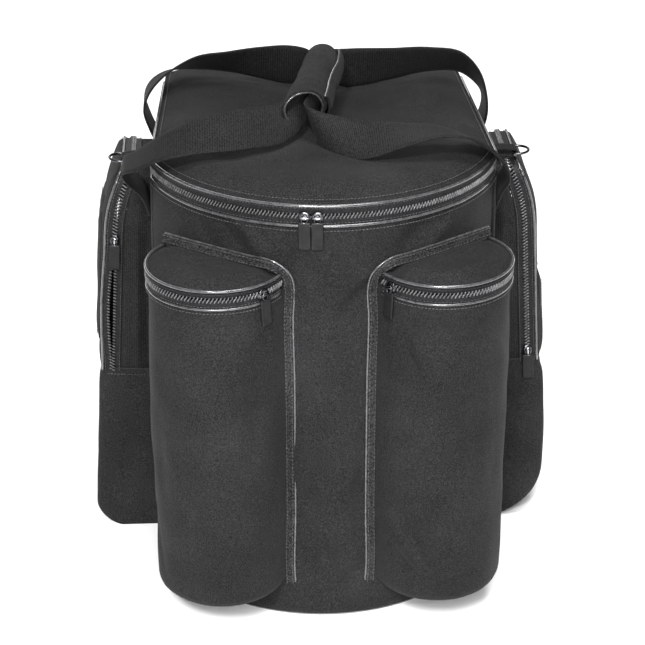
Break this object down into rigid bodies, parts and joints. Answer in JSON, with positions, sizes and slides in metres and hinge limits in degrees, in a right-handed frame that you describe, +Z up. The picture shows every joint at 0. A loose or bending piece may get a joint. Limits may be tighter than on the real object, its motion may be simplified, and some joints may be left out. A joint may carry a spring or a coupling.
{
  "type": "flight bag",
  "caption": "Padded black soft bag with a bowed front, zipped lid, two round front bottle pockets, two zipped side pockets and two carry handles.",
  "frame": {"origin": "middle of the base panel's underside, half way between the bowed front and the back", "axes": "+Z up, -Y out of the bowed front, +X to the right seen from the front"},
  "size_m": [0.4866, 0.4389, 0.536],
  "materials": {
    "fabric": "black woven polyester, slight sheen",
    "webbing": "black ribbed webbing",
    "binding": "black bias binding",
    "zip": "black coil zip on tape",
    "metal": "gunmetal plating",
    "puller": "matte black coating",
    "foam": "closed cell foam",
    "board": "stiffener board",
    "lining": "plain weave lining"
  },
  "bodies": {
    "bag": {"base_panel": "fabric", "base_board": "board", "front_panel": "fabric", "left_panel": "fabric", "right_panel": "fabric", "back_panel": "fabric", "front_foam": "foam", "left_foam": "foam", "right_foam": "foam", "back_foam": "foam", "compartment_lining": "lining", "main_zip_lower": "zip", "left_bottle_wall": "fabric", "left_bottle_base": "fabric", "left_bottle_flange": "binding", "left_bottle_zip_lower": "zip", "left_side_gusset": "fabric", "left_side_zip_inner": "zip", "left_handle_anchors": "webbing", "left_ring_tab": "webbing", "right_bottle_wall": "fabric", "right_bottle_base": "fabric", "right_bottle_flange": "binding", "right_bottle_zip_lower": "zip", "right_side_gusset": "fabric", "right_side_zip_inner": "zip", "right_handle_anchors": "webbing", "right_ring_tab": "webbing"},
    "lid": {"lid_panel": "fabric", "lid_foam": "foam", "lid_lining": "lining", "lid_binding": "binding", "main_zip_upper": "zip"},
    "left_main_slider": {"left_main_slider": "metal"},
    "left_main_puller": {"left_main_puller": "puller"},
    "left_bottle_lid": {"left_bottle_lid": "fabric", "left_bottle_zip_upper": "zip"},
    "left_bottle_slider": {"left_bottle_slider": "metal"},
    "left_bottle_puller": {"left_bottle_puller": "puller"},
    "left_side_door": {"left_side_door": "fabric", "left_side_zip_outer": "zip", "left_patch_pocket": "fabric"},
    "left_side_slider": {"left_side_slider": "metal"},
    "left_side_puller": {"left_side_puller": "puller"},
    "left_handle": {"left_handle": "webbing", "grip_wrap": "fabric"},
    "left_d_ring": {"left_d_ring": "metal"},
    "right_main_slider": {"right_main_slider": "metal"},
    "right_main_puller": {"right_main_puller": "puller"},
    "right_bottle_lid": {"right_bottle_lid": "fabric", "right_bottle_zip_upper": "zip"},
    "right_bottle_slider": {"right_bottle_slider": "metal"},
    "right_bottle_puller": {"right_bottle_puller": "puller"},
    "right_side_door": {"right_side_door": "fabric", "right_side_zip_outer": "zip", "right_patch_pocket": "fabric"},
    "right_side_slider": {"right_side_slider": "metal"},
    "right_side_puller": {"right_side_puller": "puller"},
    "right_handle": {"right_handle": "webbing"},
    "right_d_ring": {"right_d_ring": "metal"}
  },
  "joints": [
    {"name": "lid_open", "type": "hinge", "parent": "bag", "child": "lid", "pos_m": [0, 0.1975, 0.449], "axis": [-1, 0, 0], "range_deg": [0, 100], "deforming": ["left_handle", "right_handle", "grip_wrap"]},
    {"name": "left_main_zip", "type": "hinge", "parent": "bag", "child": "left_main_slider", "pos_m": [0, -0.02061, 0.449], "axis": [0, 0, -1], "range_deg": [0, 58]},
    {"name": "left_main_pull", "type": "hinge", "parent": "left_main_slider", "child": "left_main_puller", "pos_m": [-0.0256, -0.20049, 0.449], "axis": [-0.99, 0.1409, 0], "range_deg": [0, 120]},
    {"name": "left_bottle_open", "type": "hinge", "parent": "bag", "child": "left_bottle_lid", "pos_m": [-0.10369, -0.16675, 0.404], "axis": [-0.8156, 0.5786, 0], "range_deg": [0, 85]},
    {"name": "left_bottle_zip", "type": "hinge", "parent": "bag", "child": "left_bottle_slider", "pos_m": [-0.1084, -0.1734, 0.384], "axis": [0, 0, -1], "range_deg": [0, 159]},
    {"name": "left_bottle_pull", "type": "hinge", "parent": "left_bottle_slider", "child": "left_bottle_puller", "pos_m": [-0.06387, -0.22909, 0.384], "axis": [-0.781, -0.6245, 0], "range_deg": [0, 120]},
    {"name": "left_side_open", "type": "hinge", "parent": "bag", "child": "left_side_door", "pos_m": [-0.2343, 0.05, 0.19966], "axis": [0, -1, 0], "range_deg": [0, 80]},
    {"name": "left_side_zip", "type": "slide", "parent": "bag", "child": "left_side_slider", "axis": [0.0593, 0, 0.9982], "range_m": [-0.138, 0.05]},
    {"name": "left_side_pull", "type": "hinge", "parent": "left_side_slider", "child": "left_side_puller", "pos_m": [-0.21404, -0.0098, 0.34672], "axis": [-0.9982, 0, 0.0593], "range_deg": [0, 120]},
    {"name": "left_handle_swing", "type": "hinge", "parent": "bag", "child": "left_handle", "pos_m": [-0.17138, -0.04, 0.395], "axis": [-0.0449, -0.999, 0], "range_deg": [0, 150]},
    {"name": "left_ring_swing", "type": "hinge", "parent": "bag", "child": "left_d_ring", "pos_m": [-0.20058, 0.01, 0.42996], "axis": [0, 1, 0], "range_deg": [0, 150]},
    {"name": "right_main_zip", "type": "hinge", "parent": "bag", "child": "right_main_slider", "pos_m": [0, -0.02061, 0.449], "axis": [0, 0, 1], "range_deg": [0, 71]},
    {"name": "right_main_pull", "type": "hinge", "parent": "right_main_slider", "child": "right_main_puller", "pos_m": [-0.01331, -0.20181, 0.449], "axis": [-0.9973, 0.0732, 0], "range_deg": [0, 120]},
    {"name": "right_bottle_open", "type": "hinge", "parent": "bag", "child": "right_bottle_lid", "pos_m": [0.10369, -0.16675, 0.404], "axis": [-0.8156, -0.5786, 0], "range_deg": [0, 85]},
    {"name": "right_bottle_zip", "type": "hinge", "parent": "bag", "child": "right_bottle_slider", "pos_m": [0.1084, -0.1734, 0.384], "axis": [0, 0, 1], "range_deg": [0, 170]},
    {"name": "right_bottle_pull", "type": "hinge", "parent": "right_bottle_slider", "child": "right_bottle_puller", "pos_m": [0.05407, -0.21957, 0.384], "axis": [-0.6475, 0.7621, 0], "range_deg": [0, 120]},
    {"name": "right_side_open", "type": "hinge", "parent": "bag", "child": "right_side_door", "pos_m": [0.2343, 0.05, 0.19966], "axis": [0, 1, 0], "range_deg": [0, 80]},
    {"name": "right_side_zip", "type": "slide", "parent": "bag", "child": "right_side_slider", "axis": [-0.0593, 0, 0.9982], "range_m": [0, 0.189]},
    {"name": "right_side_pull", "type": "hinge", "parent": "right_side_slider", "child": "right_side_puller", "pos_m": [0.22228, -0.0098, 0.20796], "axis": [-0.9982, 0, -0.0593], "range_deg": [0, 120]},
    {"name": "right_handle_swing", "type": "hinge", "parent": "bag", "child": "right_handle", "pos_m": [0.17138, -0.04, 0.395], "axis": [-0.0449, 0.999, 0], "range_deg": [0, 150]},
    {"name": "right_ring_swing", "type": "hinge", "parent": "bag", "child": "right_d_ring", "pos_m": [0.20058, 0.01, 0.42996], "axis": [0, -1, 0], "range_deg": [0, 150]}
  ],
  "couplings": [
    {"joint": "left_handle_swing", "follows": "lid_open", "ratio": 1.5},
    {"joint": "right_handle_swing", "follows": "lid_open", "ratio": 1.5}
  ]
}
